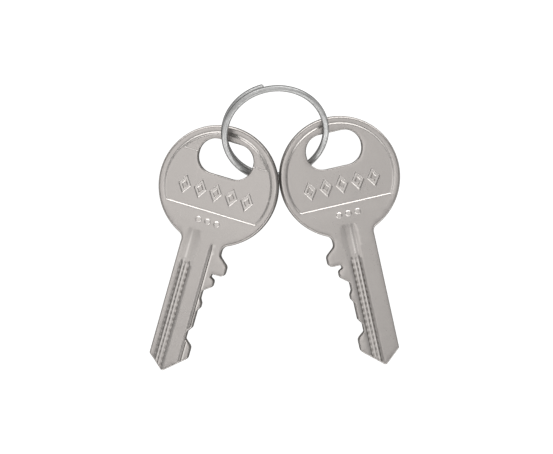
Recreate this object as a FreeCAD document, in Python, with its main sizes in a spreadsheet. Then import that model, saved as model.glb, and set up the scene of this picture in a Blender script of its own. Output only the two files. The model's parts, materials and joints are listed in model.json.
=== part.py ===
"""Two flat keys on a wire key ring, lying on a table.

The keys are the spare keys of a selector key switch. Both have the same cut, so the set
shows one key from its front and the other from its back. Each key is one stamped, milled
and plated plate; the ring is one and a half turns of spring wire.

Key frame: X across the blade from the spine to the cuts, Y along the key towards the head,
Z through the plate from the back face to the front face, origin at the head's centre.
Row frame: the keys lie on Z = 0 with their heads towards +Y.
"""

import FreeCAD, Part  # FreeCAD comes first: the other order crashes

import math
import os

import Sketcher
from FreeCAD import Placement, Rotation, Vector

# Every driving size, in millimetres and degrees. The spreadsheet holds them under these names.
SIZES = {
    # plate and head
    "thickness": 2.0,
    "head_radius": 11.15,
    "edge_radius": 0.25,
    "hole_width": 10.4,
    "hole_height": 6.45,
    "hole_corner": 3.1,
    "hole_centre": 5.12,
    "hole_edge": 0.2,
    # coined field of the head, inside the rim
    "rim_width": 1.05,
    "field_depth": 0.22,
    "field_bottom": 5.15,
    "field_draft": 50.0,
    "band_bottom": 5.0,
    "band_depth": 0.15,
    "band_inset": 0.42,
    # raised marks on the field
    "mark_count": 5,
    "mark_pitch": 3.0,
    "mark_width": 2.6,
    "mark_height": 3.8,
    "mark_line": 0.75,
    "mark_level": 1.35,
    "mark_relief": 0.2,
    "pip_count": 3,
    "pip_pitch": 1.75,
    "pip_radius": 0.62,
    "pip_level": 6.8,
    "pip_relief": 0.17,
    # blade
    "spine": 3.92,
    "throat": 3.85,
    "spine_fillet": 1.2,
    "throat_fillet": 1.37,
    "groove_depth": 0.16,
    "groove_cutter": 61.0,
    "groove_runout": 13.0,
    "channel_depth": 0.27,
    "channel_cutter": 3.0,
    "channel_runout": 15.5,
    "slit_depth": 0.22,
    "slit_cutter": 11.0,
    "slit_runout": 12.6,
    "milled_from": 37.0,
    # ring
    "wire_radius": 0.57,
    "ring_radius": 9.25,
    "ring_pitch": 1.14,
    "ring_start": 92.5,
    "ring_sweep": 530.5,
    # rest pose on the table
    "ring_x": -0.25,
    "ring_y": 17.5,
    "ring_height": 5.24,
    "ring_tilt": 28.74,
    "ring_heading": 10.02,
    "left_x": -10.42,
    "left_y": 7.67,
    "left_lean": 15.98,
    "left_tilt": 10.12,
    "right_x": 11.43,
    "right_y": 9.32,
    "right_lean": -12.6,
    "right_tilt": 6.65,
}

# Outline of the blade below the head, from the spine round the tip and up the four cuts:
# corner (x, y) and the radius that rounds it.
BLADE_CORNERS = [
    (-3.92, -33.1, 0.4),
    (-0.85, -35.75, 0.45),
    (3.15, -32.2, 1.0),
    (3.15, -29.9, 0.9),
    (1.78, -28.75, 0.3),
    (1.78, -27.3, 0.4),
    (2.43, -26.3, 0.4),
    (2.43, -23.1, 0.3),
    (2.88, -22.4, 0.4),
    (2.88, -21.6, 0.4),
    (2.43, -20.8, 0.3),
    (2.43, -19.3, 0.4),
    (4.02, -18.1, 0.8),
    (4.02, -16.9, 0.55),
    (3.18, -16.45, 0.25),
    (3.32, -15.8, 0.2),
    (5.62, -15.8, 0.8),
    (5.62, -13.8, 0.9),
    (3.85, -12.3, 0.8),
]

# Milled sections: (x, share of the cut's depth), across the blade. The channels lie in the
# wider and shallower grooves.
FRONT_GROOVE = [(-3.6, 0.0), (-3.0, 1.0), (-1.0, 1.0), (-0.5, 0.0)]
FRONT_CHANNELS = [
    (-2.97, 0.64),
    (-2.86, 0.85),
    (-2.72, 1.0),
    (-2.58, 0.8),
    (-2.44, 0.64),
    (-2.16, 0.64),
    (-2.02, 0.75),
    (-1.88, 0.64),
    (-1.6, 0.64),
    (-1.4, 0.85),
    (-1.2, 1.0),
    (-1.04, 0.64),
]
BACK_GROOVE = [(-0.85, 0.0), (-0.5, 1.0), (1.45, 1.0), (2.0, 0.0)]
BACK_CHANNELS = [
    (-0.47, 0.64),
    (-0.42, 0.8),
    (-0.3, 1.0),
    (-0.18, 0.85),
    (-0.06, 0.64),
    (0.22, 0.64),
    (0.4, 0.75),
    (0.54, 0.64),
    (0.82, 0.64),
    (1.0, 0.85),
    (1.25, 1.0),
    (1.42, 0.64),
]
FRONT_SLIT = [(1.4, 0.0), (1.65, 0.35), (1.85, 0.85), (2.0, 1.0), (2.12, 0.5), (2.3, 0.0)]

# A milled section starts this far outside the plate, and its path ends this many depths up.
ABOVE_FACE = 0.2
PATH_RISE = 1.3


class Sheet:
    """The document's spreadsheet: numbers by alias, and the expression that binds to one."""

    def __init__(self, doc, sizes):
        self.sheet = doc.addObject("Spreadsheet::Sheet", "Sizes")
        for row, (alias, value) in enumerate(sizes.items(), start=1):
            self.sheet.set(f"A{row}", alias)
            self.sheet.set(f"B{row}", str(value))
            self.sheet.setAlias(f"B{row}", alias)
        doc.recompute()

    def __getattr__(self, alias):
        return float(self.sheet.get(alias))

    def bind(self, item, **formulas):
        """Binds each named property of item to a formula, where {alias} is a cell."""
        for name, formula in formulas.items():
            item.setExpression(name, formula.replace("{", "Sizes.").replace("}", ""))


def new_sketch(body, name, plane="XY_Plane", offset=None):
    """A sketch of body on one of its own origin planes, moved off it by a formula."""
    sketch = body.newObject("Sketcher::SketchObject", name)
    support = next(f for f in body.Origin.OriginFeatures if f.Role == plane)
    sketch.AttachmentSupport = (support, [""])
    sketch.MapMode = "FlatFace"
    if offset:
        sketch.setExpression("AttachmentOffset.Base.z", offset.replace("{", "Sizes.").replace("}", ""))
    return sketch


def add_loop(sketch, edges):
    """Adds a closed run of lines and arcs, joined end to end."""
    first = sketch.GeometryCount
    sketch.addGeometry(edges, False)
    last = sketch.GeometryCount - 1
    ends = {}
    for index in range(first, last + 1):
        edge = sketch.Geometry[index]
        for position, point in ((1, edge.StartPoint), (2, edge.EndPoint)):
            key = (round(point.x, 4), round(point.y, 4))
            if key in ends:
                sketch.addConstraint(Sketcher.Constraint("Coincident", *ends[key], index, position))
            else:
                ends[key] = (index, position)


def add_circle(sketch, sheet, x, y, radius_alias):
    """A circle whose radius is bound to a cell."""
    centre = Vector(x, y, 0)
    index = sketch.addGeometry(Part.Circle(centre, Vector(0, 0, 1), getattr(sheet, radius_alias)), False)
    constraint = sketch.addConstraint(Sketcher.Constraint("Radius", index, getattr(sheet, radius_alias)))
    sketch.setExpression(f"Constraints[{constraint}]", f"Sizes.{radius_alias}")
    return index


def arc_between(centre, radius, start, end):
    """The counterclockwise arc about centre from one point to the other."""
    angles = [math.atan2(p.y - centre.y, p.x - centre.x) for p in (start, end)]
    if angles[1] <= angles[0]:
        angles[1] += 2 * math.pi
    return Part.ArcOfCircle(Part.Circle(centre, Vector(0, 0, 1), radius), *angles)


def rounded_run(start, corners, end):
    """Lines from start to end through the corners, each rounded with a tangent arc."""
    points = [start] + [Vector(x, y, 0) for x, y, _ in corners] + [end]
    edges, at = [], start
    for before, corner, after, (_, _, radius) in zip(points, points[1:], points[2:], corners):
        to_before = (before - corner).normalize()
        to_after = (after - corner).normalize()
        half = to_before.getAngle(to_after) / 2
        leg = radius / math.tan(half)
        entry, leave = corner + to_before * leg, corner + to_after * leg
        centre = corner + (to_before + to_after).normalize() * (radius / math.sin(half))
        turns_left = to_before.cross(to_after).z < 0
        edges.append(Part.LineSegment(at, entry))
        arc_ends = (entry, leave) if turns_left else (leave, entry)
        edges.append(arc_between(centre, radius, *arc_ends))
        at = leave
    edges.append(Part.LineSegment(at, end))
    return edges


def throat_arc(side, fillet, head_radius, sign):
    """Where the concave arc between the head and a blade side of that offset touches both."""
    reach = head_radius + fillet
    centre = Vector(sign * (side + fillet), -math.sqrt(reach**2 - (side + fillet) ** 2), 0)
    on_head = centre * (head_radius / reach)
    on_side = Vector(sign * side, centre.y, 0)
    return centre, on_head, on_side


def key_outline(s):
    """The whole silhouette of the key, counterclockwise."""
    spine_centre, head_spine, top_of_spine = throat_arc(s.spine, s.spine_fillet, s.head_radius, -1)
    cut_centre, head_cut, top_of_cuts = throat_arc(s.throat, s.throat_fillet, s.head_radius, 1)
    head = arc_between(Vector(0, 0, 0), s.head_radius, head_cut, head_spine)
    spine_throat = arc_between(spine_centre, s.spine_fillet, top_of_spine, head_spine)
    cut_throat = arc_between(cut_centre, s.throat_fillet, head_cut, top_of_cuts)
    blade = rounded_run(top_of_spine, BLADE_CORNERS, top_of_cuts)
    return [head, spine_throat, *blade, cut_throat]


def hole_outline(s):
    """The ring hole: a rounded rectangle above the head's centre."""
    x, low, high = s.hole_width / 2, s.hole_centre - s.hole_height / 2, s.hole_centre + s.hole_height / 2
    corners = [(x, low), (x, high), (-x, high), (-x, low)]
    start = Vector(0, low, 0)
    return rounded_run(start, [(*corner, s.hole_corner) for corner in corners], start)


def segment_outline(radius, level):
    """The part of a disc above a level: an arc closed by its chord."""
    half = math.sqrt(radius**2 - level**2)
    left, right = Vector(-half, level, 0), Vector(half, level, 0)
    return [arc_between(Vector(0, 0, 0), radius, right, left), Part.LineSegment(left, right)]


def lozenge(x, y, width, height):
    """Four lines round a lozenge."""
    tips = [Vector(x, y - height / 2, 0), Vector(x + width / 2, y, 0)]
    tips += [Vector(x, y + height / 2, 0), Vector(x - width / 2, y, 0)]
    return [Part.LineSegment(a, b) for a, b in zip(tips, tips[1:] + tips[:1])]


def row_of(count, pitch):
    """Positions of count things at a pitch, centred on zero."""
    return [(index - (count - 1) / 2) * pitch for index in range(int(count))]


def add_pocket(body, sheet, sketch, name, back=False, through=False, draft=None, **formulas):
    """Cuts a sketch into the plate, down from the front face or up from the back face."""
    pocket = body.newObject("PartDesign::Pocket", name)
    pocket.Profile = sketch
    pocket.Reversed = back
    if through:
        pocket.Type = "ThroughAll"
    if draft:
        sheet.bind(pocket, TaperAngle=f"-{draft}")
    sheet.bind(pocket, **formulas)
    return pocket


def add_pad(body, sheet, sketch, name, back=False, **formulas):
    """Raises a sketch from the plate, up from a front face or down from a back face."""
    pad = body.newObject("PartDesign::Pad", name)
    pad.Profile = sketch
    pad.Reversed = back
    sheet.bind(pad, **formulas)
    return pad


def face_offset(back, depth="0"):
    """Formula of a plane at a depth under the front face, or over the back face."""
    return depth if back else "{thickness} - " + depth


def add_field(body, sheet, side, back):
    """The coined field inside the rim, with its chord above the blade."""
    sketch = new_sketch(body, f"{side}_field_outline", offset=face_offset(back))
    add_loop(sketch, segment_outline(sheet.head_radius - sheet.rim_width, -sheet.field_bottom))
    add_pocket(body, sheet, sketch, f"{side}_field", back, draft="{field_draft}", Length="{field_depth}")


def add_band(body, sheet):
    """The front field is a little deeper beside the hole."""
    sketch = new_sketch(body, "front_band_outline", offset=face_offset(False, "{field_depth}"))
    radius = sheet.head_radius - sheet.rim_width - sheet.band_inset
    add_loop(sketch, segment_outline(radius, sheet.band_bottom))
    add_pocket(body, sheet, sketch, "front_band", Length="{band_depth}")


def add_marks(body, sheet, side, back):
    """A row of raised lozenge outlines on the field."""
    sketch = new_sketch(body, f"{side}_marks_outline", offset=face_offset(back, "{field_depth}"))
    width, height = sheet.mark_width, sheet.mark_height
    side_offset = width * height / 2 / math.hypot(width, height)
    inner = 1 - sheet.mark_line / side_offset
    for x in row_of(sheet.mark_count, sheet.mark_pitch):
        for share in (1, inner):
            add_loop(sketch, lozenge(x, -sheet.mark_level, width * share, height * share))
    add_pad(body, sheet, sketch, f"{side}_marks", back, Length="{mark_relief}")


def add_pips(body, sheet, side, back):
    """A row of small round pips under the field's chord."""
    sketch = new_sketch(body, f"{side}_pips_outline", offset=face_offset(back))
    for x in row_of(sheet.pip_count, sheet.pip_pitch):
        add_circle(sketch, sheet, x, -sheet.pip_level, "pip_radius")
    add_pad(body, sheet, sketch, f"{side}_pips", back, Length="{pip_relief}")


def add_cut(body, sheet, name, section, kind, back=False):
    """A cut milled from the tip towards the head, where its round cutter lifts out."""
    depth, cutter, runout = (getattr(sheet, f"{kind}_{size}") for size in ("depth", "cutter", "runout"))
    face, inward = (0.0, 1.0) if back else (sheet.thickness, -1.0)
    path = new_sketch(body, f"{name}_path", plane="YZ_Plane")
    start, turn = Vector(-sheet.milled_from, face, 0), Vector(-runout, face, 0)
    centre = turn - Vector(0, inward * cutter, 0)
    angle = math.acos(1 - PATH_RISE * depth / cutter)
    out = centre + Vector(cutter * math.sin(angle), inward * cutter * math.cos(angle), 0)
    lift = arc_between(centre, cutter, out, turn) if back else arc_between(centre, cutter, turn, out)
    path.addGeometry([Part.LineSegment(start, turn), lift], False)
    across = new_sketch(body, f"{name}_section", plane="XZ_Plane", offset="{milled_from}")
    points = [Vector(x, face + inward * depth * share, 0) for x, share in section]
    outside = Vector(0, -inward * ABOVE_FACE, 0)
    points = [points[0] + outside, *points, points[-1] + outside]
    add_loop(across, [Part.LineSegment(a, b) for a, b in zip(points, points[1:] + points[:1])])
    pipe = body.newObject("PartDesign::SubtractivePipe", name)
    pipe.Profile = across
    pipe.Spine = path
    return pipe


def edges_at(shape, test):
    """Names of the edges whose every sampled point passes the test."""
    names = []
    for number, edge in enumerate(shape.Edges, start=1):
        first, last = edge.ParameterRange
        points = [edge.valueAt(first + (last - first) * share) for share in (0.0, 0.25, 0.5, 0.75, 1.0)]
        if all(test(p) for p in points):
            names.append(f"Edge{number}")
    return names


def add_fillet(body, sheet, name, test, radius_alias):
    """Rounds the edges of the body's tip feature that pass the test."""
    tip = body.Tip
    fillet = body.newObject("PartDesign::Fillet", name)
    fillet.Base = (tip, edges_at(tip.Shape, test))
    sheet.bind(fillet, Radius="{" + radius_alias + "}")
    return fillet


def make_key(doc, sheet, label):
    """One key as a body in its own frame."""
    body = doc.addObject("PartDesign::Body", label)
    body.Label = label
    thick = sheet.thickness

    outline = new_sketch(body, "plate_outline")
    add_loop(outline, key_outline(sheet))
    add_pad(body, sheet, outline, "plate", Length="{thickness}")
    hole = new_sketch(body, "hole_outline", offset="{thickness}")
    add_loop(hole, hole_outline(sheet))
    add_pocket(body, sheet, hole, "ring_hole", through=True)
    doc.recompute()

    def on_faces(point):
        return min(abs(point.z), abs(point.z - thick)) < 1e-4

    def in_hole(point):
        return math.hypot(point.x, point.y - sheet.hole_centre) < sheet.hole_width / 2 + 0.01

    def in_outline(point):
        return math.hypot(point.x, point.y) > sheet.head_radius - sheet.rim_width

    add_fillet(body, sheet, "hole_rounding", lambda p: on_faces(p) and in_hole(p), "hole_edge")
    doc.recompute()
    add_fillet(body, sheet, "edge_rounding", lambda p: on_faces(p) and in_outline(p), "edge_radius")
    doc.recompute()
    for side, back in (("front", False), ("back", True)):
        add_field(body, sheet, side, back)
        doc.recompute()
        if not back:
            add_band(body, sheet)
            doc.recompute()
        add_marks(body, sheet, side, back)
        doc.recompute()
        add_pips(body, sheet, side, back)
        doc.recompute()
    add_cut(body, sheet, "front_groove", FRONT_GROOVE, "groove")
    add_cut(body, sheet, "front_channels", FRONT_CHANNELS, "channel")
    add_cut(body, sheet, "front_slit", FRONT_SLIT, "slit")
    add_cut(body, sheet, "back_groove", BACK_GROOVE, "groove", back=True)
    add_cut(body, sheet, "back_channels", BACK_CHANNELS, "channel", back=True)
    doc.recompute()
    return body


def make_ring(doc, sheet, label):
    """The ring as a body about its own Z axis: round wire swept along an overlapping helix."""
    body = doc.addObject("PartDesign::Body", label)
    body.Label = label
    section = new_sketch(body, "wire_section", plane="XZ_Plane")
    circle = add_circle(section, sheet, sheet.ring_radius, 0, "wire_radius")
    across = section.addConstraint(Sketcher.Constraint("DistanceX", -1, 1, circle, 3, sheet.ring_radius))
    section.setExpression(f"Constraints[{across}]", "Sizes.ring_radius")
    wire = body.newObject("PartDesign::AdditiveHelix", "wire")
    wire.Profile = section
    wire.ReferenceAxis = (section, ["V_Axis"])
    wire.Mode = "pitch-turns-angle"
    sheet.bind(wire, Pitch="{ring_pitch}", Turns="{ring_sweep} / 360")
    doc.recompute()
    return body


def resting_key(s, x, y, lean, tilt, turned):
    """Placement of a key that lies on its tip's spine corner and the outer edge of its head.

    The head's centre is at (x, y), the key leans clockwise by lean, and its inner side is
    lifted by tilt about the line through both resting points. A turned key is front down.
    """
    side = 1 if turned else -1
    corner_x, corner_y, _ = BLADE_CORNERS[0]
    corner = Vector(side * abs(corner_x), corner_y, 0)
    heading = math.atan2(-corner.y, -corner.x) - side * math.asin(s.head_radius / corner.Length)
    line = Vector(math.cos(heading), math.sin(heading), 0)
    turn = Rotation(Vector(0, 0, 1), -lean) * Rotation(line, side * tilt)
    under = Vector(0, 0, 0)
    if turned:
        turn = turn * Rotation(Vector(0, 1, 0), 180)
        under = Vector(0, 0, s.thickness)
    centre = Vector(x, y, s.head_radius * math.sin(math.radians(tilt)))
    return Placement(centre - turn.multVec(under), turn)


def leaning_ring(s):
    """Placement of the ring, which rests on the table and leans on both keys."""
    plane = Rotation(Vector(0, 0, 1), s.ring_heading) * Rotation(Vector(1, 0, 0), s.ring_tilt)
    rise = s.ring_pitch * s.ring_sweep / 360
    start = Placement(Vector(0, 0, -rise / 2), Rotation(Vector(0, 0, 1), s.ring_start))
    return Placement(Vector(s.ring_x, s.ring_y, s.ring_height), plane) * start


def lay_out(bodies, sheet):
    """Puts every body in its rest pose, with the set's bottom centre at the row's origin."""
    s = sheet
    bodies["left_key"].Placement = resting_key(s, s.left_x, s.left_y, s.left_lean, s.left_tilt, False)
    bodies["right_key"].Placement = resting_key(s, s.right_x, s.right_y, s.right_lean, s.right_tilt, True)
    bodies["key_ring"].Placement = leaning_ring(s)
    whole = FreeCAD.BoundBox()
    for body in bodies.values():
        whole.add(body.Shape.optimalBoundingBox())
    home = Placement(Vector(-whole.Center.x, -whole.Center.y, -whole.ZMin), Rotation())
    for body in bodies.values():
        body.Placement = home * body.Placement


def check_and_write(doc, bodies):
    """Stops on any failed feature, then writes one STEP file a body."""
    for item in doc.Objects:
        if {"Invalid", "Error"} & set(item.State):
            raise RuntimeError(f"{item.Name} failed: {item.State}")
    os.makedirs("parts", exist_ok=True)
    for label, body in bodies.items():
        shape = body.Shape
        if shape.isNull() or not shape.isValid() or len(shape.Solids) != 1:
            raise RuntimeError(f"{label} is not one valid solid")
        shape.exportStep(f"parts/{label}.step")
        print(label, round(shape.Volume, 2), shape.optimalBoundingBox())


def main():
    doc = FreeCAD.newDocument("keys_on_ring")
    sheet = Sheet(doc, SIZES)
    bodies = {
        "key_ring": make_ring(doc, sheet, "key_ring"),
        "left_key": make_key(doc, sheet, "left_key"),
        "right_key": make_key(doc, sheet, "right_key"),
    }
    lay_out(bodies, sheet)
    doc.recompute()
    check_and_write(doc, bodies)


main()
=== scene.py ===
import json
import math
from collections import namedtuple

import bpy
import numpy as np
from mathutils import Matrix, Vector
from mathutils.geometry import delaunay_2d_cdt
from mathutils.kdtree import KDTree


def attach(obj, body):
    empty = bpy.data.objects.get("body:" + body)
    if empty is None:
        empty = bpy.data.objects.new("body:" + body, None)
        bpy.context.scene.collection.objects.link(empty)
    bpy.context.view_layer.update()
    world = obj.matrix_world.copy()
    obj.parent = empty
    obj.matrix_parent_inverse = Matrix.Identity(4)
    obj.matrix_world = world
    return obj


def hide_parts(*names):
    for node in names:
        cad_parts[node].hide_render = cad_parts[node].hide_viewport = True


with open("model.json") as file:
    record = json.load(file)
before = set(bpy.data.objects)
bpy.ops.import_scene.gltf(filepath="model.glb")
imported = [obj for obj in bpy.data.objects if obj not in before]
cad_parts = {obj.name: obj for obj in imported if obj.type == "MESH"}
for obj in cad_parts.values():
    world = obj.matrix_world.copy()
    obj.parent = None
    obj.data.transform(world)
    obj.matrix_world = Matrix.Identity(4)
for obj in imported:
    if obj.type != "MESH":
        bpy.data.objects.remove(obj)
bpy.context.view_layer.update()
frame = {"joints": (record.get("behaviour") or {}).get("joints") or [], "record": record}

MM = 0.001

# Sizes of the key, in millimetres. Key frame: x across the blade from the spine to the cuts,
# y towards the head, z from the back face to the front face, origin at the head's centre.
THICKNESS = 2.0
HEAD_RADIUS = 11.15
HEAD_ROUNDING, BLADE_ROUNDING = 0.45, 0.27
HOLE_ROUNDING = 0.26
HOLE_WIDTH, HOLE_HEIGHT, HOLE_CORNER, HOLE_CENTRE = 10.4, 6.45, 3.1, 5.12
SPINE, THROAT = 3.92, 3.85
SPINE_FILLET, THROAT_FILLET = 1.2, 1.37
TIP_MOUNT = 35.0

# The head's softer edge goes over into the blade's along this stretch.
BLADE_EDGE_FROM, BLADE_EDGE_TO = -9.5, -12.5

# The coined field of the head and the deeper band beside the hole. A slope is a step's width.
FIELD_RADIUS, FIELD_BOTTOM, FIELD_DEPTH, FIELD_SLOPE = 10.1, 5.15, 0.22, 0.42
BAND_BOTTOM, BAND_DEPTH, BAND_SLOPE = 5.0, 0.15, 0.3
# The rim round the field is this much lower at its edges than along its middle, and the crown
# fades out over this stretch below the field.
RIM_CROWN, CROWN_FADE = 0.035, 2.0

# Raised marks: a row of lozenges on the field and a row of pips under it.
MARK_COUNT, MARK_PITCH, MARK_LEVEL = 5, 3.0, -1.35
MARK_WIDTH, MARK_HEIGHT, MARK_LINE, MARK_RELIEF = 2.6, 3.8, 0.75, 0.2
PIP_COUNT, PIP_PITCH, PIP_LEVEL, PIP_RADIUS, PIP_RELIEF = 3, 1.75, -6.8, 0.62, 0.17
RELIEF_SLOPE = 0.24
# Tone of every coined step, a painted highlight along its slope, and of the raised marks, partly
# wear on their tops and partly painted highlight.
MARK_WEAR_AND_HIGHLIGHT, STEP_HIGHLIGHT = 0.35, 0.9

# The teeth of the channels' cutter left marks from the tip up to TEETH_END, one at each pitch,
# counted from a ridge between two of them.
TOOTH_PITCH, TOOTH_RIDGE, TEETH_END = 1.075, 0.35, -15.5
# The pockets are this deep, and the second number darkens their colour: dirt and painted shade.
POCKET_DEPTH, PIT_DIRT_AND_SHADE = 0.03, 0.65
# The marks start softly at their end, and weaken by a share between these distances from it.
TEETH_FADE, TIP_FADE, TIP_FADE_FROM, TIP_FADE_TO = 0.4, 0.3, 6.0, 18.0
# Every row along the blade starts here, just past the tip.
BLADE_END = -36.0

# Corners of the blade below the head, from the spine round the tip and up the cuts: (x, y, radius).
BLADE_CORNERS = [
    (-SPINE, -33.1, 0.4),
    (-0.85, -35.75, 0.45),
    (3.15, -32.2, 1.0),
    (3.15, -29.9, 0.9),
    (1.78, -28.75, 0.3),
    (1.78, -27.3, 0.4),
    (2.43, -26.3, 0.4),
    (2.43, -23.1, 0.3),
    (2.88, -22.4, 0.4),
    (2.88, -21.6, 0.4),
    (2.43, -20.8, 0.3),
    (2.43, -19.3, 0.4),
    (4.02, -18.1, 0.8),
    (4.02, -16.9, 0.55),
    (3.18, -16.45, 0.25),
    (3.32, -15.8, 0.2),
    (5.62, -15.8, 0.8),
    (5.62, -13.8, 0.9),
    (THROAT, -12.3, 0.8),
]

# Milled sections across the blade: (x, share of the depth, painted tone from -1 for dirt and
# painted shade to 1 for a painted highlight, how much the cutter's teeth marked it).
FRONT_GROOVE = [
    (-3.6, 0.0, 0.0, 0.0),
    (-3.0, 1.0, -0.1, 0.0),
    (-2.8, 1.0, 0.2, 0.0),
    (-2.45, 0.95, 0.2, 0.0),
    (-2.3, 0.9, 0.8, 0.0),
    (-2.1, 0.9, 0.6, 0.0),
    (-1.95, 0.95, 0.0, 0.0),
    (-1.3, 1.0, -0.1, 0.0),
    (-1.0, 1.0, 0.3, 0.0),
    (-0.5, 0.0, 0.3, 0.0),
]
FRONT_CHANNELS = [
    (-3.0, 0.6, 0.0, 0.1),
    (-2.86, 0.85, 0.0, 0.7),
    (-2.72, 1.0, 0.0, 1.2),
    (-2.58, 0.8, 0.4, 0.3),
    (-2.44, 0.6, 0.4, 0.0),
    (-2.3, 0.6, 0.7, 0.0),
    (-2.16, 0.6, 0.1, 0.2),
    (-2.02, 0.75, 0.0, 1.3),
    (-1.88, 0.6, 0.1, 0.2),
    (-1.74, 0.6, 0.6, 0.0),
    (-1.6, 0.6, 0.1, 0.1),
    (-1.4, 0.85, 0.0, 0.7),
    (-1.2, 1.0, 0.0, 1.1),
    (-1.02, 0.6, 0.0, 0.3),
]
BACK_GROOVE = [
    (-0.85, 0.0, 0.0, 0.0),
    (-0.5, 1.0, -0.1, 0.0),
    (-0.25, 1.0, 0.3, 0.0),
    (-0.05, 0.95, 0.1, 0.0),
    (0.12, 0.9, 0.6, 0.0),
    (0.26, 0.9, 1.0, 0.0),
    (0.38, 0.9, 0.6, 0.0),
    (0.55, 0.95, 0.0, 0.0),
    (1.1, 1.0, 0.0, 0.0),
    (1.45, 1.0, 0.2, 0.0),
    (2.0, 0.0, 0.3, 0.0),
]
BACK_CHANNELS = [
    (-0.5, 0.6, 0.0, 0.1),
    (-0.42, 0.8, -0.1, 0.8),
    (-0.3, 1.0, -0.1, 1.4),
    (-0.18, 0.85, -0.1, 0.8),
    (-0.06, 0.6, 0.1, 0.0),
    (0.08, 0.6, 0.9, 0.0),
    (0.22, 0.6, 0.1, 0.3),
    (0.4, 0.75, 0.0, 1.5),
    (0.54, 0.6, 0.1, 0.3),
    (0.68, 0.6, 0.6, 0.0),
    (0.82, 0.6, 0.1, 0.1),
    (1.0, 0.85, 0.0, 0.8),
    (1.25, 1.0, -0.1, 1.4),
    (1.43, 0.6, 0.0, 0.3),
]
FRONT_SLIT = [
    (1.4, 0.0, 0.0, 0.0),
    (1.65, 0.35, 0.2, 0.0),
    (1.85, 0.85, 0.2, 0.0),
    (2.0, 1.0, 0.1, 0.0),
    (2.12, 0.5, 0.2, 0.0),
    (2.22, 0.05, 1.0, 0.0),
    (2.42, 0.0, 1.0, 0.0),
    (2.5, 0.0, 0.0, 0.0),
]

# A cut of a round cutter that lifts out towards the head: its section, its depth, where the
# lift starts, the cutter's radius and the depth of the wider groove that it lies in.
Cut = namedtuple("Cut", "section depth start radius ground")
FRONT_CUTS = [
    Cut(FRONT_GROOVE, 0.16, -13.0, 61.0, 0.0),
    Cut(FRONT_CHANNELS, 0.27, TEETH_END, 3.0, 0.16),
    Cut(FRONT_SLIT, 0.22, -12.6, 11.0, 0.0),
]
BACK_CUTS = [
    Cut(BACK_GROOVE, 0.16, -13.0, 61.0, 0.0),
    Cut(BACK_CHANNELS, 0.27, TEETH_END, 3.0, 0.16),
]

# Sizes of the ring, in millimetres.
WIRE_RADIUS = 0.57
RING_RADIUS = 9.25
RING_PITCH = 1.14
RING_START, RING_SWEEP = math.radians(92.5), math.radians(530.5)
WIRE_SIDES, WIRE_STEPS = 28, 420

# Pinched ends of the wire: how far the ridge stands out, its slope, and the turn it takes.
PINCH_RIDGE, PINCH_SLOPE, PINCH_ROOM = 0.1, 0.45, 0.03
# Rings of points that close an end, as shares of the wire's radius.
END_RINGS = (0.0, 0.3, 0.6, 0.85, 0.97)

# Edges are worn bright within about this distance of the outline.
WEAR_REACH = 0.25
# Share of an edge's rounding from which it goes over into the wall, darkened in colour as sheared
# metal and with painted shade.
WALL_FROM = 0.7

# Spacing of the points along outlines, the largest turn between two of them, and the fewest
# points round a full circle.
SAMPLE, MOST_TURN, FEWEST_SIDES = 0.24, 0.3, 20
# Spacing and half width of the grid on the plain faces, and how far it stays off the features.
GRID, GRID_REACH, CLEAR_OF_FEATURES = 0.7, 12.0, 0.26
# A flat row this far outside each step keeps its shading off the plain face.
GUARD = 0.05
# Rows of points across a step, as shares of its width.
STEP_ROWS = (0.0, 0.2, 0.5, 0.8, 1.0)
# Rows of points across a rounded edge, in degrees round it, and down the wall below it.
ROUNDING_ROWS, WALL_ROWS = (18, 38, 58, 75, 90), (0.33, 0.67)
# Where an outline turns tightly, a row folds and comes nearer the edge. It keeps the points
# that are clear of the edge by this share of its own distance.
ROW_CLEARANCE = 0.9
# Rows along the blade have this many points to a tooth mark.
POINTS_PER_TOOTH = 8
# Rows end this far short of an outline and of a chord, and nearer points than this are merged.
OUTLINE_GAP, CHORD_GAP, MERGE_DISTANCE = 0.01, 0.02, 0.004
SHARP_ANGLE = math.radians(32)


# ---------------------------------------------------------------- outlines

def arc(centre, radius, start, end):
    """Points on an arc from one angle to another, without the last one."""
    turn = abs(end - start)
    steps = max(3, math.ceil(turn * radius / SAMPLE), math.ceil(turn / MOST_TURN))
    angles = start + (end - start) * np.arange(steps) / steps
    return np.c_[centre[0] + radius * np.cos(angles), centre[1] + radius * np.sin(angles)]


def line(start, end, spacing=SAMPLE):
    """Points on a line, without the last one."""
    steps = max(1, math.ceil(math.dist(start, end) / spacing))
    share = (np.arange(steps) / steps)[:, None]
    return np.asarray(start) * (1 - share) + np.asarray(end) * share


def rounded_run(start, corners, end):
    """Points from start to end along lines through the corners, each rounded by its radius."""
    stops = [np.array(start)] + [np.array(corner[:2]) for corner in corners] + [np.array(end)]
    runs, at = [], stops[0]
    for before, corner, after, (_, _, radius) in zip(stops, stops[1:], stops[2:], corners):
        back = (before - corner) / np.linalg.norm(before - corner)
        ahead = (after - corner) / np.linalg.norm(after - corner)
        half = math.acos(np.clip(back @ ahead, -1, 1)) / 2
        centre = corner + (back + ahead) / np.linalg.norm(back + ahead) * radius / math.sin(half)
        leg = radius / math.tan(half)
        entry, leave = corner + back * leg, corner + ahead * leg
        first = math.atan2(*(entry - centre)[::-1])
        turn = math.atan2(*(leave - centre)[::-1]) - first
        turn = (turn + math.pi) % (2 * math.pi) - math.pi
        runs += [line(at, entry), arc(centre, radius, first, first + turn)]
        at = leave
    runs.append(line(at, stops[-1]))
    return np.concatenate(runs)


def throat(side, fillet, sign):
    """Centre of the concave arc between the head and a side of the blade."""
    reach = HEAD_RADIUS + fillet
    return np.array([sign * (side + fillet), -math.sqrt(reach**2 - (side + fillet) ** 2)])


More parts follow.
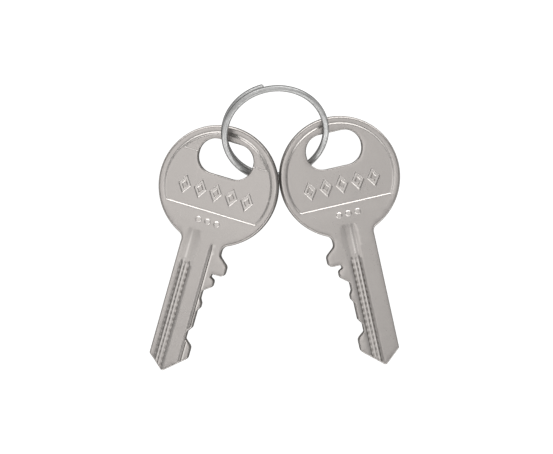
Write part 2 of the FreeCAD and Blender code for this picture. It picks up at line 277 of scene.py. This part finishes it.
def key_outline():
    """The silhouette of the key, counterclockwise."""
    left, right = throat(SPINE, SPINE_FILLET, -1), throat(THROAT, THROAT_FILLET, 1)
    head_start = math.atan2(right[1], right[0])
    head_end = math.atan2(left[1], left[0]) + 2 * math.pi
    return np.concatenate([
        arc((0, 0), HEAD_RADIUS, head_start, head_end),
        arc(left, SPINE_FILLET, head_end - math.pi, 0),
        rounded_run((-SPINE, left[1]), BLADE_CORNERS, (THROAT, right[1])),
        arc(right, THROAT_FILLET, math.pi, head_start + math.pi),
    ])


def hole_outline():
    """The ring hole, clockwise, so that metal is on the left of both loops."""
    x, low, high = HOLE_WIDTH / 2, HOLE_CENTRE - HOLE_HEIGHT / 2, HOLE_CENTRE + HOLE_HEIGHT / 2
    corners = [(-x, low), (-x, high), (x, high), (x, low)]
    return rounded_run((0, low), [(*corner, HOLE_CORNER) for corner in corners], (0, low))


def outward(loop):
    """Unit normals of a loop, away from the metal on its left."""
    along = np.roll(loop, -1, axis=0) - np.roll(loop, 1, axis=0)
    normal = np.c_[along[:, 1], -along[:, 0]]
    return normal / np.linalg.norm(normal, axis=1)[:, None]


def distance(points, loop):
    """Distance of each point from a closed loop."""
    start, step = loop, np.roll(loop, -1, axis=0) - loop
    length = (step**2).sum(axis=1)
    out = np.empty(len(points))
    batch = 4000
    for low in range(0, len(points), batch):
        offset = points[low:low + batch, None] - start
        share = np.clip((offset * step).sum(axis=2) / length, 0, 1)
        gap = offset - share[:, :, None] * step
        out[low:low + batch] = np.sqrt((gap**2).sum(axis=2).min(axis=1))
    return out


def inside(points, loop):
    """Whether each point lies inside a closed loop, by the even-odd rule."""
    x, y = points[:, :1], points[:, 1:]
    (x0, y0), (x1, y1) = loop.T, np.roll(loop, -1, axis=0).T
    crosses = (y0 > y) != (y1 > y)
    rise = np.where(y1 == y0, 1, y1 - y0)
    return (crosses & (x < (x1 - x0) * (y - y0) / rise + x0)).sum(axis=1) % 2 == 1


OUTLINE, HOLE = key_outline(), hole_outline()


def edge_distances(points):
    """Distance of each point from the silhouette and from the hole."""
    return distance(points, OUTLINE), distance(points, HOLE)


def in_metal(points):
    return inside(points, OUTLINE) & ~inside(points, HOLE)


# ---------------------------------------------------------------- relief of the two faces

def ramp(t):
    """Smooth rise from 0 to 1."""
    t = np.clip(t, 0, 1)
    return t * t * (3 - 2 * t)


def row_of(count, pitch):
    """Positions of count things at a pitch, centred on zero."""
    return (np.arange(count) - (count - 1) / 2) * pitch


def segment_share(x, y, radius, level, slope):
    """1 in the part of a disc above a level, 0 outside it, with a soft step between."""
    return np.minimum(ramp((radius - np.hypot(x, y)) / slope), ramp((y - level) / slope))


def band_share(x, y):
    """1 on the deeper band beside the hole."""
    return segment_share(x, y, FIELD_RADIUS - FIELD_SLOPE, BAND_BOTTOM, BAND_SLOPE)


def marks_share(x, y):
    """1 on top of the lozenges' lines."""
    half_w, half_h = MARK_WIDTH / 2, MARK_HEIGHT / 2
    slant = half_w * half_h / math.hypot(half_w, half_h)
    share = np.zeros(len(x))
    for centre in row_of(MARK_COUNT, MARK_PITCH):
        inner = (1 - np.abs(x - centre) / half_w - np.abs(y - MARK_LEVEL) / half_h) * slant
        off = np.minimum(inner, MARK_LINE - inner)
        share = np.maximum(share, ramp(off / RELIEF_SLOPE))
    return share


def pips_share(x, y):
    """1 on top of the pips."""
    share = np.zeros(len(x))
    for centre in row_of(PIP_COUNT, PIP_PITCH):
        off = PIP_RADIUS - np.hypot(x - centre, y - PIP_LEVEL)
        share = np.maximum(share, ramp(off / RELIEF_SLOPE))
    return share


def cut_left(y, cut):
    """Share of a cut's depth that is left at y, where the round cutter lifts."""
    lift = np.where(y > cut.start, (y - cut.start) ** 2 / (2 * cut.radius), 0)
    return np.clip(1 - lift / cut.depth, 0, 1)


def tooth_pocket(y):
    """Up to 1 in the marks of the cutter's teeth, 0 on the ridges between and beyond them."""
    wave = 0.5 - 0.5 * np.cos(2 * math.pi * (y - TOOTH_RIDGE) / TOOTH_PITCH)
    reach = TEETH_END - y
    fade = TIP_FADE * ramp((reach - TIP_FADE_FROM) / (TIP_FADE_TO - TIP_FADE_FROM))
    return wave * ramp(reach / TEETH_FADE) * (1 - fade)


def cut_layers(x, y, cut):
    """Depth of a milled cut and its painted tone: highlights on its ridges, dirt and painted shade
    in its hollows and tooth pockets.
    """
    places, shares, highlights_and_shades, marks = np.array(cut.section).T
    share, highlight_and_shade, marked = (np.interp(x, places, values, 0, 0) for values in (shares, highlights_and_shades, marks))
    left, pocket = cut_left(y, cut), marked * tooth_pocket(y)
    depth = cut.depth * (share - 1 + left) + POCKET_DEPTH * pocket
    depth = np.where(share > 0, np.maximum(depth, 0), 0)
    return depth, (highlight_and_shade - PIT_DIRT_AND_SHADE * pocket) * np.sqrt(left)


def relief(x, y, cuts):
    """Height of a face over its rim level before its outline is rounded, and its painted tone:
    highlights, dirt and painted shade.
    """
    middle = (HEAD_RADIUS + FIELD_RADIUS) / 2
    off_middle = (np.hypot(x, y) - middle) / (HEAD_RADIUS - middle)
    crown = RIM_CROWN * ramp((y + FIELD_BOTTOM + CROWN_FADE) / CROWN_FADE)
    height = -crown * np.clip(off_middle, -1, 1) ** 2
    field = segment_share(x, y, FIELD_RADIUS, -FIELD_BOTTOM, FIELD_SLOPE)
    band = band_share(x, y) if cuts is FRONT_CUTS else np.zeros(len(x))
    marks, pips = marks_share(x, y), pips_share(x, y)
    height += MARK_RELIEF * marks + PIP_RELIEF * pips - FIELD_DEPTH * field - BAND_DEPTH * band
    # Painted highlight along the middle of every soft step, and on top of the marks, where it is
    # partly wear.
    steps = sum(1 - (2 * share - 1) ** 4 for share in (field, band, marks, pips))
    highlight_and_shade = MARK_WEAR_AND_HIGHLIGHT * (marks + pips) + STEP_HIGHLIGHT * steps
    for cut in cuts:
        depth, shade = cut_layers(x, y, cut)
        height = np.where(depth > 0, np.minimum(height, -depth), height)
        highlight_and_shade = np.where((depth > 0) | (shade != 0), shade, highlight_and_shade)
    return height, highlight_and_shade


# ---------------------------------------------------------------- mesh of the key

def kept(row):
    """A row of points that is kept as a whole."""
    return row, np.full(len(row), True)


def step_offsets(width):
    """Offsets of the rows of points that carry a soft step of that width."""
    return [-GUARD] + [share * width for share in STEP_ROWS] + [width + GUARD]


def circle_row(radius, centre=(0, 0), above=-math.inf):
    """A circle of points, and which of them lie above a level and are kept."""
    count = max(FEWEST_SIDES, math.ceil(2 * math.pi * radius / SAMPLE))
    angles = np.arange(count + 1) * 2 * math.pi / count
    row = np.c_[centre[0] + radius * np.cos(angles), centre[1] + radius * np.sin(angles)]
    return row, row[:, 1] > above


def chord_row(level, radius):
    """A row across a disc at a level."""
    half = math.sqrt(radius**2 - level**2)
    return kept(np.append(line((-half, level), (half, level)), [(half, level)], axis=0))


def segment_rows(radius, level, slope):
    """Rows along the soft step round the part of a disc above a level."""
    rows = []
    for offset in step_offsets(slope):
        rows.append(circle_row(radius - offset, above=level + offset + CHORD_GAP))
        rows.append(chord_row(level + offset, radius - offset))
    return rows


def mark_rows():
    """Rows round the lozenges, on both sides of their lines, and round the pips."""
    rows = []
    thickness = 2 * math.hypot(1 / MARK_WIDTH, 1 / MARK_HEIGHT)
    steps = step_offsets(RELIEF_SLOPE)
    for centre in row_of(MARK_COUNT, MARK_PITCH):
        for offset in steps + [MARK_LINE - step for step in reversed(steps)]:
            half_w, half_h = np.array([MARK_WIDTH, MARK_HEIGHT]) / 2 * (1 - offset * thickness)
            tips = [(centre + half_w, MARK_LEVEL), (centre, MARK_LEVEL + half_h)]
            tips += [(centre - half_w, MARK_LEVEL), (centre, MARK_LEVEL - half_h)]
            sides = [line(a, b) for a, b in zip(tips, tips[1:] + tips[:1])]
            rows.append(kept(np.concatenate(sides + [tips[:1]])))
    for centre in row_of(PIP_COUNT, PIP_PITCH):
        for offset in steps:
            rows.append(circle_row(PIP_RADIUS - offset, (centre, PIP_LEVEL)))
    return rows


def cutter_exit(share, cut):
    """Where along y the lifting cutter leaves a part of the cut with that share of its depth."""
    return cut.start + math.sqrt(2 * cut.radius * max(cut.depth * share - cut.ground, 0))


def exit_row(low, high, cut):
    """The edge of the run-out between two corners of a milled section."""
    (x0, share0), (x1, share1) = low[:2], high[:2]
    start, end = cutter_exit(share0, cut), cutter_exit(share1, cut)
    along = np.linspace(start, end, math.ceil(abs(end - start) / SAMPLE) + 1)
    if start == end:
        return np.array([(x0, start + GUARD), (x1, end + GUARD)])
    share = ((along - cut.start) ** 2 / (2 * cut.radius) + cut.ground) / cut.depth
    return np.c_[x0 + (x1 - x0) * (share - share0) / (share1 - share0), along]


def groove_rows(cuts):
    """Rows along each corner of the milled sections, up to where the cutter leaves the metal."""
    rows = []
    for cut in cuts:
        section = cut.section
        corners = [(x, share) for x, share, _, _ in section]
        corners += [(section[0][0] - GUARD, 0.0), (section[-1][0] + GUARD, 0.0)]
        for x, share in corners:
            turn, end = (x, cut.start), (x, cutter_exit(share, cut))
            toothed = line((x, BLADE_END), turn, TOOTH_PITCH / POINTS_PER_TOOTH)
            rows.append(np.concatenate([toothed, line(turn, end), [end]]))
        rows += [exit_row(low, high, cut) for low, high in zip(section, section[1:])]
    return [kept(row) for row in rows]


def edge_radius(points, to_outline, to_hole):
    """Radius that rounds the nearest edge of the plate."""
    share = ramp((points[:, 1] - BLADE_EDGE_TO) / (BLADE_EDGE_FROM - BLADE_EDGE_TO))
    outer = BLADE_ROUNDING + (HEAD_ROUNDING - BLADE_ROUNDING) * share
    return np.where(to_hole < to_outline, HOLE_ROUNDING, outer)


def rounding_rows():
    """Rows inside both loops that carry their rounded edges."""
    rows = []
    for loop in (OUTLINE, HOLE):
        reach = edge_radius(loop, *edge_distances(loop))[:, None]
        for degrees in ROUNDING_ROWS:
            inward = reach * (1 - math.cos(math.radians(degrees)))
            row = loop - outward(loop) * inward
            clear = np.minimum(*edge_distances(row)) > inward[:, 0] * ROW_CLEARANCE
            rows.append((np.append(row, row[:1], axis=0), np.append(clear, clear[0])))
    return rows


def fill_points(features):
    """An even grid on the plain areas, clear of the features' points."""
    across = np.arange(-GRID_REACH, GRID_REACH, GRID)
    along = np.arange(BLADE_END, GRID_REACH, GRID)
    x, y = np.meshgrid(across, along)
    x[::2] += GRID / 2
    grid = np.c_[x.ravel(), y.ravel()]
    tree = KDTree(len(features))
    for index, point in enumerate(features):
        tree.insert((*point, 0), index)
    tree.balance()
    return np.array([p for p in grid if tree.find((*p, 0))[2] > CLEAR_OF_FEATURES])


def face_plan(cuts):
    """Triangulates the key's flat shape: points, triangles and where the loops' points went."""
    count, rim = len(OUTLINE), len(OUTLINE) + len(HOLE)
    points = [np.concatenate([OUTLINE, HOLE])]
    edges = [(i, (i + 1) % count) for i in range(count)]
    edges += [(count + i, count + (i + 1) % (rim - count)) for i in range(rim - count)]
    rows = rounding_rows() + segment_rows(FIELD_RADIUS, -FIELD_BOTTOM, FIELD_SLOPE) + mark_rows()
    if cuts is FRONT_CUTS:
        rows += segment_rows(FIELD_RADIUS - FIELD_SLOPE, BAND_BOTTOM, BAND_SLOPE)
    total = rim
    for row, keep in rows + groove_rows(cuts):
        keep = keep & in_metal(row)
        keep &= np.minimum(*edge_distances(row)) > OUTLINE_GAP
        joined = np.flatnonzero(keep[:-1] & keep[1:]) + total
        edges += [(i, i + 1) for i in joined]
        points.append(row)
        total += len(row)
    features = np.concatenate(points)
    used = np.zeros(total, bool)
    used[np.array(edges).ravel()] = True
    fill = fill_points(features[used])
    fill = fill[in_metal(fill)]
    renumber = np.cumsum(used) - 1
    edges = [(int(renumber[a]), int(renumber[b])) for a, b in edges]
    points = np.concatenate([features[used], fill])
    found = delaunay_2d_cdt([Vector(p) for p in points], edges, [], 0, MERGE_DISTANCE)
    place = np.array([tuple(v) for v in found[0]])
    faces = np.array(found[2])
    faces = faces[in_metal(place[faces].mean(axis=1))]
    loop_at = np.full(rim, -1)
    for index, sources in enumerate(found[3]):
        for source in sources:
            if source < rim:
                loop_at[source] = index
    return place, faces, loop_at


def face_mesh(cuts):
    """One face: points, triangles, heights, the loops' points and the layers for the material."""
    place, faces, loop_at = face_plan(cuts)
    to_outline, to_hole = edge_distances(place)
    radius = edge_radius(place, to_outline, to_hole)
    away = np.minimum(to_outline, to_hole)
    short = np.clip(radius - away, 0, None)
    drop = radius - np.sqrt(np.clip(radius**2 - short**2, 0, None))
    height, highlight_and_shade = relief(*place.T, cuts)
    # Wall layer: darkens the walls' colour, as sheared metal and as painted shade.
    wall = ramp((short / radius - WALL_FROM) / (1 - WALL_FROM))
    wall[loop_at] = 1.0
    etched = band_share(*place.T) if cuts is FRONT_CUTS else wall * 0
    layers = {"wear": np.exp(-away / WEAR_REACH), "highlight_and_shade": highlight_and_shade, "wall": wall, "etched": etched}
    return place, faces, height - drop, loop_at, layers


def key_mesh(name):
    """The whole key as one closed mesh, in its own frame, in metres."""
    verts, polys, loops, layers = [], [], [], []
    count = 0
    for cuts, level, sign in ((FRONT_CUTS, THICKNESS, 1), (BACK_CUTS, 0, -1)):
        place, faces, height, loop_at, face_layers = face_mesh(cuts)
        verts.append(np.c_[place, level + sign * height])
        polys += [face[::sign] + count for face in faces]
        loops.append(loop_at + count)
        layers.append(face_layers)
        count += len(place)
    flat, rim = np.concatenate(verts), len(OUTLINE) + len(HOLE)
    rows = [loops[0]]
    on_wall = dict.fromkeys(("wear", "highlight_and_shade", "etched"), np.zeros(rim))
    on_wall["wall"] = np.ones(rim)
    for share in WALL_ROWS:
        verts.append(flat[loops[0]] * (1 - share) + flat[loops[1]] * share)
        layers.append(on_wall)
        rows.append(np.arange(count, count + rim))
        count += rim
    rows.append(loops[1])
    after = np.arange(rim) + 1
    after[len(OUTLINE) - 1], after[rim - 1] = 0, len(OUTLINE)
    for upper, lower in zip(rows, rows[1:]):
        polys += list(np.c_[upper, lower, lower[after], upper[after]])
    mesh = bpy.data.meshes.new(name)
    mesh.from_pydata((np.concatenate(verts) * MM).tolist(), [], [poly.tolist() for poly in polys])
    for label in layers[0]:
        add_layer(mesh, label, np.concatenate([part[label] for part in layers]))
    keep_local(mesh, np.concatenate(verts))
    mesh.shade_smooth()
    mesh.set_sharp_from_angle(angle=SHARP_ANGLE)
    return mesh


def add_layer(mesh, name, values):
    """Stores one number at each point, for the material."""
    layer = mesh.attributes.new(name, "FLOAT", "POINT")
    layer.data.foreach_set("value", values.astype(np.float32))


def keep_local(mesh, places):
    """Stores where each point is in its piece's own frame, in metres, for the textures."""
    layer = mesh.attributes.new("local", "FLOAT_VECTOR", "POINT")
    layer.data.foreach_set("vector", (places * MM).astype(np.float32).ravel())


# ---------------------------------------------------------------- materials

class Shader:
    """A material's node tree with short calls for what the materials share."""

    def __init__(self, name):
        self.material = bpy.data.materials.new(name)
        self.material.use_nodes = True
        self.tree = self.material.node_tree
        self.surface = self.tree.nodes["Principled BSDF"]

    def node(self, kind, **settings):
        node = self.tree.nodes.new("ShaderNode" + kind)
        for key, value in settings.items():
            setattr(node, key, value)
        return node

    def link(self, output, target):
        self.tree.links.new(output, target)

    def feed(self, socket, value):
        """Links an output to a socket, or sets a number or a colour on it."""
        if isinstance(value, tuple):
            socket.default_value = (*value, 1)
        elif isinstance(value, (int, float)):
            socket.default_value = value
        else:
            self.link(value, socket)

    def layer(self, name):
        return self.node("Attribute", attribute_name=name).outputs["Fac"]

    def place(self):
        return self.node("Attribute", attribute_name="local").outputs["Vector"]

    def noise(self, vector, scale, detail=3.0, seed=0.0):
        node = self.node("TexNoise", noise_dimensions="4D")
        for label, value in (("Scale", scale), ("Detail", detail), ("W", seed), ("Vector", vector)):
            self.feed(node.inputs[label], value)
        return node.outputs["Fac"]

    def between(self, value, low, high, out_low, out_high):
        node = self.node("MapRange")
        ends = {"From Min": low, "From Max": high, "To Min": out_low, "To Max": out_high}
        for label, number in ends.items():
            node.inputs[label].default_value = number
        self.link(value, node.inputs["Value"])
        return node.outputs["Result"]

    def math(self, operation, first, second):
        node = self.node("Math", operation=operation)
        self.feed(node.inputs[0], first)
        self.feed(node.inputs[1], second)
        return node.outputs["Value"]

    def mix(self, share, first, second):
        node = self.node("Mix", data_type="RGBA")
        self.link(share, node.inputs["Factor"])
        for label, colour in (("A", first), ("B", second)):
            self.feed(next(s for s in node.inputs if s.name == label and s.type == "RGBA"), colour)
        return next(s for s in node.outputs if s.type == "RGBA")

    def stretched(self, vector, scale, turn=0.0):
        node = self.node("Mapping")
        node.inputs["Scale"].default_value = scale
        node.inputs["Rotation"].default_value = (0, 0, turn)
        self.link(vector, node.inputs["Vector"])
        return node.outputs["Vector"]

    def bump(self, height, distance, below=None):
        node = self.node("Bump")
        node.inputs["Distance"].default_value = distance
        self.link(height, node.inputs["Height"])
        if below:
            self.link(below, node.inputs["Normal"])
        return node.outputs["Normal"]


# Colours, linear.
NICKEL_DARK, NICKEL_LIGHT = (0.365, 0.343, 0.328), (0.415, 0.390, 0.372)
# The light colour serves real edge wear and painted highlights, the groove colour is dirt and
# painted shade, and the sheared colour darkens the walls, partly as painted shade.
NICKEL_WEAR_AND_HIGHLIGHT, GROOVE_DIRT_AND_SHADE, SHEARED_AND_SHADED = (0.62, 0.59, 0.565), (0.15, 0.135, 0.12), (0.17, 0.16, 0.15)
WIRE_DARK, WIRE_LIGHT = (0.40, 0.40, 0.395), (0.52, 0.52, 0.515)
# The second colour on the next line is painted shade on the wire's flanks; the first is real stains.
WIRE_STAIN, WIRE_FLANK_SHADE = (0.24, 0.235, 0.23), (0.11, 0.11, 0.108)
PAPER_DARK, PAPER_LIGHT = (0.20, 0.20, 0.20), (0.22, 0.22, 0.22)
# Tarnished nickel mirrors less at grazing angles.
GRAZING_TINT = (0.15, 0.15, 0.15)

# Sizes of the noise, in cells to the metre.
KEY_CLOUDS, KEY_GRAIN, KEY_STREAKS, KEY_WAVES, KEY_SCRATCHES = 190, 3400, 2600, 260, 4200
WIRE_LINES, WIRE_CLOUDS, PAPER_FIBRES = 6000, 420, 900
# Heights of the bumps, in metres.
WAVE_BUMP, GRAIN_BUMP, SCRATCH_BUMP, LINE_BUMP = 0.00003, 0.000016, 0.000003, 0.000006
# Directions of the handling scratches, in radians, each with a seed of its own.
SCRATCH_TURNS = ((0.5, 1.0), (-0.8, 2.0), (1.4, 5.0))
# A small number draws the noise out along that axis.
STREAK_STRETCH, SCRATCH_STRETCH, LINE_STRETCH = (1.0, 0.05, 1.0), (1.0, 0.03, 1.0), (0.06, 1.0, 1.0)
# Seed of each key's material, so that the two don't look alike.
KEY_SEEDS = (("left", 0.0), ("right", 7.3))


def key_material(name, seed):
    """Satin nickel over brass: fine grain, scratches, worn edges, painted highlights on the steps,
    marks and ridges, dirt and painted shade in the channels and tooth marks, and walls darkened as
    sheared metal and with painted shade.
    """
    s = Shader(name)
    place = s.place()
    wear, highlight_and_shade, wall, etched = (s.layer(label) for label in ("wear", "highlight_and_shade", "wall", "etched"))
    cloud = s.noise(place, KEY_CLOUDS, 3, seed)
    grain = s.noise(place, KEY_GRAIN, 4, seed)
    streaks = s.noise(s.stretched(place, STREAK_STRETCH), KEY_STREAKS, 3, seed + 4)

    mottle = s.math("ADD", s.math("MULTIPLY", cloud, 0.45), s.math("MULTIPLY", grain, 0.55))
    colour = s.mix(s.between(mottle, 0.35, 0.65, 0, 1), NICKEL_DARK, NICKEL_LIGHT)
    worn = s.between(wear, 0.45, 1.0, 0, 0.15)
    # Lighter with painted highlights on the steps, marks and ridges, and with real wear along the
    # edges.
    worn_and_highlit = s.math("MAXIMUM", s.between(highlight_and_shade, 0.1, 1.0, 0, 0.9), worn)
    colour = s.mix(worn_and_highlit, colour, NICKEL_WEAR_AND_HIGHLIGHT)
    # Darker with dirt and painted shade in the channels and tooth pockets.
    uneven = s.between(streaks, 0.3, 0.7, 0.7, 1.0)
    dirt_and_shade = s.math("MULTIPLY", s.between(highlight_and_shade, -1.0, 0.0, 1.0, 0.0), uneven)
    colour = s.mix(dirt_and_shade, colour, GROOVE_DIRT_AND_SHADE)
    # Darker on the walls: sheared metal and painted shade.
    colour = s.mix(wall, colour, SHEARED_AND_SHADED)
    s.link(colour, s.surface.inputs["Base Color"])

    smudges = s.between(cloud, 0.3, 0.7, -0.03, 0.03)
    rough = s.math("ADD", s.between(grain, 0.3, 0.7, 0.27, 0.40), smudges)
    rough = s.math("SUBTRACT", rough, s.math("MULTIPLY", worn_and_highlit, 0.04))
    coarse = s.math("MAXIMUM", wall, dirt_and_shade)
    rough = s.math("ADD", rough, s.math("MULTIPLY", coarse, 0.3))
    s.link(rough, s.surface.inputs["Roughness"])
    s.link(s.between(wall, 0.0, 1.0, 1.0, 0.8), s.surface.inputs["Metallic"])
    s.surface.inputs["Specular Tint"].default_value = (*GRAZING_TINT, 1)

    normal = s.bump(s.noise(place, KEY_WAVES, 2, seed + 3), WAVE_BUMP)
    pitted = s.math("MULTIPLY", grain, s.between(etched, 0.0, 1.0, 0.5, 2.6))
    normal = s.bump(pitted, GRAIN_BUMP, normal)
    for turn, offset in SCRATCH_TURNS:
        along = s.stretched(place, SCRATCH_STRETCH, turn)
        lines = s.noise(along, KEY_SCRATCHES, 1, seed + offset)
        normal = s.bump(s.between(lines, 0.66, 0.72, 0, 1), SCRATCH_BUMP, normal)
    s.link(normal, s.surface.inputs["Normal"])
    return s.material


def wire_material(name):
    """Drawn spring wire, nickel plated: fine lines along it, dull patches, and painted shade
    darkening its flanks.
    """
    s = Shader(name)
    place = s.place()
    lines = s.noise(s.stretched(place, LINE_STRETCH), WIRE_LINES, 3)
    cloud = s.noise(place, WIRE_CLOUDS, 3, 2.0)
    colour = s.mix(s.between(lines, 0.3, 0.7, 0, 1), WIRE_DARK, WIRE_LIGHT)
    colour = s.mix(s.between(cloud, 0.5, 0.8, 0, 0.4), colour, WIRE_STAIN)
    # Painted shade: the wire's flanks, in the ring's plane, are darkened in colour.
    colour = s.mix(s.between(s.layer("flank_shade"), 0.82, 0.98, 0, 0.9), colour, WIRE_FLANK_SHADE)
    s.link(colour, s.surface.inputs["Base Color"])
    s.link(s.between(cloud, 0.3, 0.7, 0.40, 0.52), s.surface.inputs["Roughness"])
    s.link(s.bump(lines, LINE_BUMP), s.surface.inputs["Normal"])
    s.surface.inputs["Metallic"].default_value = 1.0
    s.surface.inputs["Specular Tint"].default_value = (*GRAZING_TINT, 1)
    return s.material


def floor_material():
    """White studio paper, bright enough to keep shadows faint."""
    s = Shader("studio_paper")
    fibre = s.noise(s.node("TexCoord").outputs["Object"], PAPER_FIBRES, 2)
    colour = s.mix(s.between(fibre, 0.3, 0.7, 0, 1), PAPER_DARK, PAPER_LIGHT)
    s.link(colour, s.surface.inputs["Base Color"])
    s.surface.inputs["Roughness"].default_value = 0.9
    s.surface.inputs["Emission Color"].default_value = (1, 1, 1, 1)
    s.surface.inputs["Emission Strength"].default_value = PAPER_GLOW
    return s.material


# ---------------------------------------------------------------- pieces

def link_object(name, mesh, material, placement=None):
    """Makes an object of a mesh, moved from its own frame to its place on the table."""
    if placement:
        mesh.transform(placement)
    piece = bpy.data.objects.new(name, mesh)
    bpy.context.scene.collection.objects.link(piece)
    piece.data.materials.append(material)
    return piece


MOUNTS = {mount["name"]: mount for mount in frame["record"]["mounts"]}


def key_placement(side):
    """The key's frame, from the mounts at its tip and on its spine."""
    blade, spine = MOUNTS[side + "_blade"], MOUNTS[side + "_spine"]
    y_axis = -Vector(blade["axis"]).normalized()
    x_axis = -Vector(spine["axis"]).normalized()
    z_axis = x_axis.cross(y_axis).normalized()
    x_axis = y_axis.cross(z_axis)
    origin = Vector(blade["pos_m"]) + y_axis * TIP_MOUNT * MM - z_axis * THICKNESS / 2 * MM
    turn = Matrix((x_axis, y_axis, z_axis)).transposed()
    return Matrix.Translation(origin) @ turn.to_4x4()


def make_keys():
    mesh = key_mesh("key_plate")
    for side, seed in KEY_SEEDS:
        material = key_material(side + "_nickel", seed)
        key = link_object(side + "_key_plate", mesh.copy(), material, key_placement(side))
        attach(key, side + "_key")
        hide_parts(side + "_key")


def wire_section(turn, share=1.0, pinch=0.0):
    """Points round the wire at a turn, where they are on the straight wire, and their flank layer,
    which paints shade on the wire's sides.

    A share under 1 is nearer the wire's axis. A pinched section bulges along the wire to the
    blunt ridge that a side cutter leaves.
    """
    angles = np.arange(WIRE_SIDES) * 2 * math.pi / WIRE_SIDES
    across, up = share * WIRE_RADIUS * np.cos(angles), share * WIRE_RADIUS * np.sin(angles)
    push = pinch * (PINCH_RIDGE - PINCH_SLOPE * np.abs(across))
    rise = RING_PITCH / (2 * math.pi)
    radial = np.array([math.cos(turn), math.sin(turn), 0])
    tangent = np.array([-math.sin(turn), math.cos(turn), rise / RING_RADIUS])
    tangent /= np.linalg.norm(tangent)
    middle = radial * RING_RADIUS + (0, 0, rise * (turn - RING_START - RING_SWEEP / 2))
    place = middle + np.outer(across, radial) + np.outer(up, np.cross(tangent, radial))
    straight = np.c_[turn * RING_RADIUS + push, across, up]
    return place + np.outer(push, tangent), straight, share * np.abs(np.cos(angles))


def make_ring():
    """Round wire along an overlapping helix, with pinched ends."""
    first, last = RING_START + PINCH_ROOM, RING_START + RING_SWEEP - PINCH_ROOM
    between = np.linspace(first + PINCH_ROOM, last - PINCH_ROOM, WIRE_STEPS)
    sections = [wire_section(first, share, -1) for share in END_RINGS]
    sections += [wire_section(turn) for turn in between]
    sections += [wire_section(last, share, 1) for share in reversed(END_RINGS)]
    places, straight, flank_shade = (np.concatenate(part) for part in zip(*sections))
    here = np.arange(WIRE_SIDES)
    beside = np.roll(here, -1)
    polys = []
    for row in range(len(sections) - 1):
        low, high = row * WIRE_SIDES, (row + 1) * WIRE_SIDES
        polys += np.c_[low + here, high + here, high + beside, low + beside].tolist()
    mesh = bpy.data.meshes.new("ring_wire")
    mesh.from_pydata((places * MM).tolist(), [], polys)
    keep_local(mesh, straight)
    # This layer drives the painted shade on the wire's sides.
    add_layer(mesh, "flank_shade", flank_shade)
    mesh.shade_smooth()
    normal = Vector(MOUNTS["ring_loop"]["axis"]).normalized()
    heading = Vector((0, 0, 1)).cross(normal).normalized()
    turn = Matrix((heading, normal.cross(heading), normal)).transposed()
    # Both keys travel about the centre of the loop.
    centre = Vector(frame["joints"][0]["pos_m"])
    placement = Matrix.Translation(centre) @ turn.to_4x4()
    ring = link_object("ring_wire", mesh, wire_material("drawn_wire"), placement)
    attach(ring, "key_ring")
    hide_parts("key_ring")


# ---------------------------------------------------------------- studio

# Camera almost straight above the keys, in millimetres.
CAMERA_DISTANCE, CAMERA_LENS, CAMERA_SENSOR = 425.0, 150.0, 36.0
CAMERA_TILT = math.radians(3.47)
LOOK_AT = Vector((0.335, -0.03, 0.0)) * MM
# Strengths of the paper's own light and of the room's, and half the paper's side in metres.
PAPER_GLOW, ROOM_LIGHT = 0.93, 0.35
FLOOR_HALF = 3.0
# Soft boxes, in metres and watts: two overhead, a wide one behind the ring, three in front.
SOFT_BOXES = [
    ("left_box", (-0.24, 0.05, 0.8), (0.48, 0.9), 1.6),
    ("right_box", (0.24, 0.05, 0.8), (0.48, 0.9), 0.9),
    ("far_strip", (0.0, 0.85, 0.3), (2.2, 0.45), 12.0),
    ("near_strip", (0.0, -0.8, 0.34), (0.95, 0.36), 2.5),
    ("left_strip", (-0.62, -0.6, 0.34), (0.5, 0.36), 1.5),
    ("right_strip", (0.62, -0.6, 0.34), (0.5, 0.36), 1.5),
]


def make_camera():
    data = bpy.data.cameras.new("camera")
    data.lens = CAMERA_LENS
    data.sensor_width = CAMERA_SENSOR
    camera = bpy.data.objects.new("camera", data)
    away = Vector((0, math.sin(CAMERA_TILT), math.cos(CAMERA_TILT)))
    right = Vector((1, 0, 0))
    turn = Matrix((right, away.cross(right), away)).transposed()
    camera.matrix_world = Matrix.Translation(LOOK_AT + away * CAMERA_DISTANCE * MM) @ turn.to_4x4()
    bpy.context.scene.collection.objects.link(camera)
    bpy.context.scene.camera = camera


def add_light(name, place, size, power):
    """A soft box that faces the keys."""
    data = bpy.data.lights.new(name, "AREA")
    data.shape = "RECTANGLE"
    data.size, data.size_y = size
    data.energy = power
    light = bpy.data.objects.new(name, data)
    aim = Vector(place).to_track_quat("Z", "Y").to_matrix().to_4x4()
    light.matrix_world = Matrix.Translation(place) @ aim
    bpy.context.scene.collection.objects.link(light)


def make_studio():
    mesh = bpy.data.meshes.new("floor")
    corners = [(-FLOOR_HALF, -FLOOR_HALF, 0), (FLOOR_HALF, -FLOOR_HALF, 0)]
    corners += [(FLOOR_HALF, FLOOR_HALF, 0), (-FLOOR_HALF, FLOOR_HALF, 0)]
    mesh.from_pydata(corners, [], [(0, 1, 2, 3)])
    link_object("floor", mesh, floor_material())
    for box in SOFT_BOXES:
        add_light(*box)
    world = bpy.data.worlds.new("studio")
    world.use_nodes = True
    background = world.node_tree.nodes["Background"]
    background.inputs["Color"].default_value = (1, 1, 1, 1)
    background.inputs["Strength"].default_value = ROOM_LIGHT
    bpy.context.scene.world = world
    bpy.context.scene.view_settings.view_transform = "Standard"


make_camera()
make_keys()
make_ring()
make_studio()
